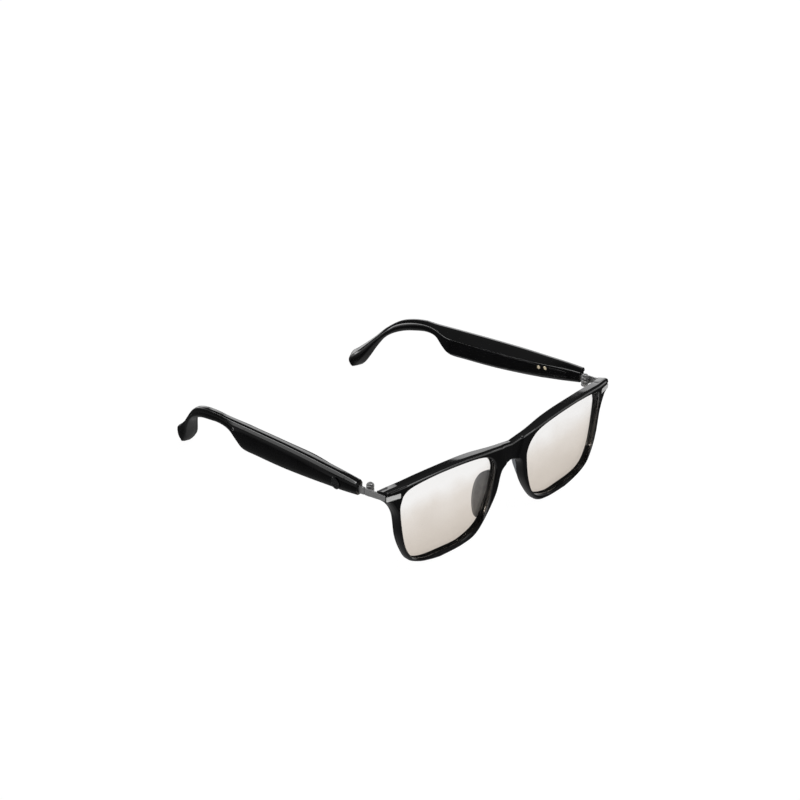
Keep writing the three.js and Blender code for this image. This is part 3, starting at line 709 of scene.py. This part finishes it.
def width_at(y, v):
    """Width of the section at a share of its height: full between two sloping shoulders."""
    full = thickness(y)
    top = np.minimum(TOP_WIDTH, 0.8 * full)
    bottom = np.minimum(BOTTOM_WIDTH, 0.8 * full)
    high = mix(full, top, np.clip((v - HIGH_SHOULDER) / (1 - HIGH_SHOULDER), 0, 1))
    low = mix(bottom, full, np.clip(v / LOW_SHOULDER, 0, 1))
    return np.where(v > HIGH_SHOULDER, high, low)


def temple_point(share, inset, v, from_outer=True):
    """A point of the temple: a distance in from its outer face, or out from its inner face."""
    low = curve_at(BOTTOM_EDGE, share)
    high = curve_at(TOP_EDGE, share)
    y = mix(low[:, 0], high[:, 0], v)
    z = np.maximum(0, mix(low[:, 1], high[:, 1], v))
    width = width_at(y, v)
    x = outer_x(y) - (inset if from_outer else width - inset)
    return at_hinge(x, y, z)


def height_at(share):
    low = curve_at(BOTTOM_EDGE, share)
    high = curve_at(TOP_EDGE, share)
    return high[:, 1] - low[:, 1]


def share_at(y):
    """Share of the sweep at which the middle of the temple is at this distance back."""
    shares = np.linspace(0, 1, 2000)
    middle = (curve_at(TOP_EDGE, shares)[:, 0] + curve_at(BOTTOM_EDGE, shares)[:, 0]) / 2
    return float(shares[np.argmax(middle >= y)])


def along_temple(base, span):
    """Rises smoothly from 0 to 1 between two distances back along the temple."""
    return smooth(base, share_at(span[0]), share_at(span[1]))


LID_LOW_MARGIN, LID_HIGH_MARGIN = 2.6, 3.7
LEDGE = 0.8
# Outer face from the lower edge to the top: inset, share of height, distance below that, rounding
OUTER_FACE = [
    (1.7, 0.0, 0, 0.4), (0.95, 0.05, 0, 0.3), (0.65, 0.14, 0, 0), (0.48, 0.24, 0, 0), (0.42, 0.34, 0, 0),
    (0.42, 0.44, 0, 0), (0.46, 0.54, 0, 0), (0.54, 1.0, 4.8, 0), (0.68, 1.0, 3.7, 0), (0.78, 1.0, 3.1, 0.1),
    (0.1, 1.0, 2.3, 0.1), (0.6, 1.0, 0.7, 0.2), (1.15, 1.0, 0, 0.2),
]


def soften(rings, base, amount, power=2.2):
    """Draws the sections towards an oval where the amount, one per station, is above 0."""
    low, high = curve_at(BOTTOM_EDGE, base), curve_at(TOP_EDGE, base)
    y = (low[:, 0] + high[:, 0]) / 2
    half_width = thickness(y)[:, None, None] / 2
    centre = at_hinge(outer_x(y) - thickness(y) / 2, y, (low[:, 1] + high[:, 1]) / 2)[:, None]
    up = np.stack([np.zeros(len(base)), high[:, 0] - low[:, 0], high[:, 1] - low[:, 1]], axis=1)
    half_height = np.maximum(np.linalg.norm(up, axis=1), 0.4)[:, None, None] / 2
    up = unit(up)[:, None]
    offset = rings - centre
    b = np.sum(offset * up, axis=2, keepdims=True) / half_height
    a = offset[:, :, :1] / half_width
    round_share = (np.abs(a) ** power + np.abs(b) ** power + 1e-9) ** (-1 / power)
    oval = centre + offset * np.minimum(round_share, 1)
    return mix(rings, oval, amount[:, None, None])


LID_BED, SHELL_WALL = 1.4, 1.3
SLOT_MARGIN = 0.3
VOICE_RADIUS = 0.5
GROOVE_FADE, HOOK_SOFTENING, TIP_BLUNTING = (90, 100), (92, 118), (134, 146)
FADED_INSET = 0.62


def upright_slot(low, high, radius, bottom, top):
    """An upright prism over a rectangle of the plan, for cutting openings in the lower edge."""
    corners = [[low[0], low[1]], [high[0], low[1]], [high[0], high[1]], [low[0], high[1]]]
    levels = [(0, bottom), (0, top)]
    return prism(rounded(corners, radius), levels, lambda x, y, z: np.stack([x, y, z], axis=1))


def make_shell(side, word):
    body = f"temple_{word}"
    tiny = 1e-4
    lid_a, lid_b = share_at(LID_FROM), share_at(LID_TO)
    hollow_a, hollow_b = share_at(LID_FROM + LEDGE), share_at(LID_TO - LEDGE)
    base = np.unique(np.concatenate([
        np.linspace(0, 1, 260),
        [0.0008, 0.002, lid_a - tiny, lid_a + tiny, hollow_a - tiny, hollow_a + tiny],
        [hollow_b - tiny, hollow_b + tiny, lid_b - tiny, lid_b + tiny],
    ]))
    in_lid = ((base > lid_a) & (base < lid_b)).astype(float)
    in_hollow = ((base > hollow_a) & (base < hollow_b)).astype(float)
    height = height_at(base)
    zero = np.zeros(len(base))
    one = zero + 1
    low_v = np.where(in_lid > 0, LID_LOW_MARGIN / height, 0.3)
    high_v = np.where(in_lid > 0, 1 - LID_HIGH_MARGIN / height, 0.6)
    bed = LID_BED * in_lid
    full = thickness(mix(curve_at(BOTTOM_EDGE, base)[:, 0], curve_at(TOP_EDGE, base)[:, 0], 0.5))
    deep = np.where(in_hollow > 0, full - SHELL_WALL, bed)
    low_h, high_h = low_v + 0.06, high_v - 0.06
    blunt = mix(1.0, 2.2, along_temple(base, TIP_BLUNTING))
    groove_end = along_temple(base, GROOVE_FADE)
    sections = []
    radii = []
    for inset, v, below, radius in OUTER_FACE:
        v = zero + v - below * np.minimum(1 / height, 0.1)
        y = mix(curve_at(BOTTOM_EDGE, base)[:, 0], curve_at(TOP_EDGE, base)[:, 0], v)
        # The groove under the top edge fades out before the hook
        if 1.0 < below < 4:
            inset = mix(inset, FADED_INSET, groove_end)
        inset = np.minimum(inset * blunt, 0.72 * width_at(y, v))
        sections.append(temple_point(base, inset, v))
        radii.append(radius)
    inner = [
        (0.3 * one, one, 0.22), (zero, 0.95 * one, 0.3), (zero, 0.74 * one, 0.5),
        (zero, high_v, 0.06), (bed, high_v, 0.0), (bed, high_h, 0.0), (deep, high_h, 0.0),
        (deep, low_h, 0.0), (bed, low_h, 0.0), (bed, low_v, 0.0), (zero, low_v, 0.06),
        (zero, 0.17 * one, 0.5), (zero, 0.05 * one, 0.5), (0.4 * one, zero, 0.4),
    ]
    for inset, v, radius in inner:
        sections.append(temple_point(base, inset, v, from_outer=False))
        radii.append(radius)
    rings = round_rings(np.stack(sections, axis=1), radii, 4)
    rings = soften(rings, base, along_temple(base, HOOK_SOFTENING))
    rings[:, :, 2] = np.maximum(rings[:, :, 2], 0)
    centre = rings.mean(axis=1, keepdims=True)
    rings[0] = rings[0] + unit(centre[0] - rings[0]) * 0.3
    rings[-1] = rings[-1] + (centre[-1] - rings[-1]) * 0.2
    points, faces = tube(rings)
    shell = add_object(f"shell_look_{word}", points, faces, "gloss_black", body, "gloss_black",
                       [f"temple_shell_{word}"], side)
    low, high = box_mm(f"temple_speaker_grille_{word}")
    slot = upright_slot(low - SLOT_MARGIN, high + SLOT_MARGIN, SLOT_MARGIN, low[2] - 3, high[2] + 3)
    low, high = box_mm(f"temple_microphone_{word}")
    middle = (low + high) / 2
    hole = upright_slot(middle - VOICE_RADIUS, middle + VOICE_RADIUS, 0.95 * VOICE_RADIUS,
                        low[2] - 8, low[2] + 0.5)
    cut(shell, [slot, hole])


COVER_GAP, COVER_FACE, COVER_THICKNESS = 0.16, -0.02, 1.1
CONTACT_HOLE_RADIUS = 1.2


def make_cover(side, word):
    body = f"temple_{word}"
    gap = COVER_GAP
    start, end = share_at(LID_FROM + gap), share_at(LID_TO - gap)
    base = np.concatenate([[start, start + 0.0006], np.linspace(start + 0.0012, end - 0.0012, 150),
                           [end - 0.0006, end]])
    height = height_at(base)
    low_v, high_v = (LID_LOW_MARGIN + gap) / height, 1 - (LID_HIGH_MARGIN + gap) / height
    zero = np.zeros(len(base))
    corners = [
        (COVER_FACE, low_v), (COVER_THICKNESS, low_v), (COVER_THICKNESS, high_v), (COVER_FACE, high_v),
        (COVER_FACE, mix(low_v, high_v, 0.66)), (COVER_FACE, mix(low_v, high_v, 0.33)),
    ]
    sections = [temple_point(base, inset + zero, v, from_outer=False) for inset, v in corners]
    rings = round_rings(np.stack(sections, axis=1), [0.18, 0.1, 0.1, 0.18, 0, 0], 4)
    points, faces = tube(rings)
    cover = add_object(f"cover_look_{word}", points, faces, "gloss_black", body, "gloss_black",
                       [f"temple_inner_cover_{word}"], side)
    cutters = []
    for where in ("front", "rear"):
        low, high = box_mm(f"temple_charge_contact_{where}_{word}")
        centre = (low + high) / 2
        profile = [(CONTACT_HOLE_RADIUS, -6), (CONTACT_HOLE_RADIUS, 6)]
        cutters.append(turned(profile, lambda a, b, h, c=centre: np.stack(
            [c[0] + h, c[1] + a, c[2] + b], axis=1)))
    cut(cover, cutters)


def make_contacts(side, word):
    for where in ("front", "rear"):
        node = f"temple_charge_contact_{where}_{word}"
        low, high = box_mm(node)
        centre = (low + high) / 2
        face = min(abs(low[0]), abs(high[0]))
        long = abs(high[0] - low[0])
        profile = [(0.1, 0.0), (0.6, 0.0), (0.82, 0.04), (0.92, 0.12), (0.95, 0.25), (0.95, 1.4),
                   (1.25, 1.45), (1.3, 1.5), (1.3, 1.75), (1.2, 1.8), (0.6, min(1.88, long))]

        def place(a, b, h):
            return np.stack([face + h, centre[1] + a, centre[2] + b], axis=1)

        add_object(f"contact_{where}_look_{word}", *turned(profile, place), "gold", f"temple_{word}",
                   "gold", [node], side)


def make_mark(side, word):
    """The touch control's mark: a shallow disc with a groove ring round a small dimple."""
    low, high = box_mm(f"temple_touch_mark_{word}")
    centre = (low + high) / 2
    profile = [(2.6, -0.3), (2.7, -0.02), (2.66, 0.02), (2.3, 0.03), (2.22, -0.06), (1.98, -0.06),
               (1.9, 0.03), (0.75, 0.03), (0.66, -0.05), (0.05, -0.08)]

    def place(a, b, h):
        y = centre[1] + a
        x = HINGE_X + outer_x(y - HINGE_ROW_Y) + h
        return np.stack([x, y, centre[2] + b], axis=1)

    add_object(f"mark_look_{word}", *turned(profile, place, 64), "mark_black", f"temple_{word}",
               "mark_black", [f"temple_touch_mark_{word}"], side, sharp=20)


INSIDE = {
    "temple_touch_sensor": "flex_amber",
    "temple_main_board": "board_green",
    "temple_microphone": "microphone_can",
    "temple_battery": "battery_foil",
    "temple_speaker": "speaker_black",
    "temple_speaker_grille": "grille_steel",
}


def paint_inside(word):
    for node, material in INSIDE.items():
        piece = frame["nodes"][f"{node}_{word}"]
        for slot in piece.material_slots:
            slot.material = MATERIALS[material]
        if not piece.material_slots:
            piece.data.materials.append(MATERIALS[material])


make_front()
for side, word in ((1, "left"), (-1, "right")):
    make_lens(side, word)
    make_plate(side, word)
    make_pad(side, word)
    make_hinge(side, word)
    make_shell(side, word)
    make_cover(side, word)
    make_contacts(side, word)
    make_mark(side, word)
    paint_inside(word)

# ---------------------------------------------------------------- studio


def stage_material(name, colour, roughness):
    material = bpy.data.materials.new(name)
    material.use_nodes = True
    shader = material.node_tree.nodes["Principled BSDF"]
    shader.inputs["Base Color"].default_value = (*colour, 1)
    shader.inputs["Roughness"].default_value = roughness
    return material


FLOOR_HALF = 40.0
FLOOR_DROP = 0.0004


def add_floor():
    """A plain white floor, bright enough to show no shadow. Gloss doesn't pick it up."""
    half = FLOOR_HALF
    corners = [(-half, -half, 0), (half, -half, 0), (half, half, 0), (-half, half, 0)]
    mesh = bpy.data.meshes.new("floor")
    mesh.from_pydata(corners, [], [(0, 1, 2, 3)])
    material = stage_material("floor", (0.06, 0.06, 0.06), 1.0)
    shader = shader_of(material)
    shader.inputs["Emission Color"].default_value = (1, 1, 1, 1)
    shader.inputs["Emission Strength"].default_value = 0.98
    mesh.materials.append(material)
    floor = bpy.data.objects.new("floor", mesh)
    floor.location.z = -FLOOR_DROP
    floor.visible_glossy = False
    bpy.context.scene.collection.objects.link(floor)


LIGHT_TARGET = Vector((0, 0, 0.03))


def add_light(name, place, size, power):
    data = bpy.data.lights.new(name, "AREA")
    data.shape = "RECTANGLE"
    data.size, data.size_y = size
    data.energy = power
    light = bpy.data.objects.new(name, data)
    light.location = place
    light.rotation_mode = "QUATERNION"
    light.rotation_quaternion = (LIGHT_TARGET - Vector(place)).to_track_quat("-Z", "Y")
    bpy.context.scene.collection.objects.link(light)


def add_world():
    """A plain white backdrop, and for gloss and fill a dim room, brightest near the horizon."""
    world = bpy.data.worlds.new("studio")
    world.use_nodes = True
    nodes, links = world.node_tree.nodes, world.node_tree.links
    coords = nodes.new("ShaderNodeTexCoord")
    split = nodes.new("ShaderNodeSeparateXYZ")
    links.new(coords.outputs["Generated"], split.inputs["Vector"])
    height = nodes.new("ShaderNodeMapRange")
    height.inputs["From Min"].default_value = -1.0
    height.inputs["From Max"].default_value = 1.0
    links.new(split.outputs["Z"], height.inputs["Value"])
    shade = nodes.new("ShaderNodeValToRGB")
    elements = shade.color_ramp.elements
    for position, level in ROOM_SHADES[1:-1]:
        elements.new(position).color = (level, level, level, 1)
    elements[0].position, elements[-1].position = ROOM_SHADES[0][0], ROOM_SHADES[-1][0]
    elements[0].color = (*[ROOM_SHADES[0][1]] * 3, 1)
    elements[-1].color = (*[ROOM_SHADES[-1][1]] * 3, 1)
    links.new(height.outputs["Result"], shade.inputs["Fac"])
    room = nodes["Background"]
    links.new(shade.outputs["Color"], room.inputs["Color"])
    room.inputs["Strength"].default_value = 1.0
    backdrop = nodes.new("ShaderNodeBackground")
    backdrop.inputs["Color"].default_value = (1, 1, 1, 1)
    path = nodes.new("ShaderNodeLightPath")
    either = nodes.new("ShaderNodeMixShader")
    links.new(path.outputs["Is Camera Ray"], either.inputs["Fac"])
    links.new(room.outputs["Background"], either.inputs[1])
    links.new(backdrop.outputs["Background"], either.inputs[2])
    links.new(either.outputs["Shader"], nodes["World Output"].inputs["Surface"])
    bpy.context.scene.world = world


CAMERA_AZIMUTH, CAMERA_ELEVATION = math.radians(-44.18), math.radians(28.76)
CAMERA_DISTANCE, CAMERA_LENS, CAMERA_SENSOR = 0.729, 70.07, 36
CAMERA_TARGET = Vector((-0.0053, -0.01825, 0.0401))


def add_camera():
    level = math.cos(CAMERA_ELEVATION)
    back = Vector((math.sin(CAMERA_AZIMUTH) * level, -math.cos(CAMERA_AZIMUTH) * level,
                   math.sin(CAMERA_ELEVATION)))
    data = bpy.data.cameras.new("camera")
    data.sensor_width = CAMERA_SENSOR
    data.lens = CAMERA_LENS
    camera = bpy.data.objects.new("camera", data)
    camera.location = CAMERA_TARGET + back * CAMERA_DISTANCE
    camera.rotation_mode = "QUATERNION"
    camera.rotation_quaternion = (-back).to_track_quat("-Z", "Y")
    bpy.context.scene.collection.objects.link(camera)
    bpy.context.scene.camera = camera


# Brightness of the room by height of view: 0 straight down, 0.5 the horizon, 1 straight up
ROOM_SHADES = [
    (0.0, 0.35), (0.12, 0.22), (0.2, 0.06), (0.29, 0.02), (0.37, 0.3), (0.45, 1.6), (0.54, 1.2),
    (0.6, 0.15), (0.72, 0.05), (1.0, 0.3),
]

add_floor()
add_world()
add_light("back", (1.05, 1.15, 0.62), (1.3, 0.45), 4)
add_light("line", (-1.25, 1.05, 0.12), (1.2, 0.22), 5)
add_light("front_line", (1.0, -1.3, 0.3), (1.3, 0.14), 2.4)
add_light("overhead", (0.2, -0.5, 1.2), (0.5, 0.5), 3)
add_camera()
bpy.context.scene.view_settings.view_transform = "Standard"
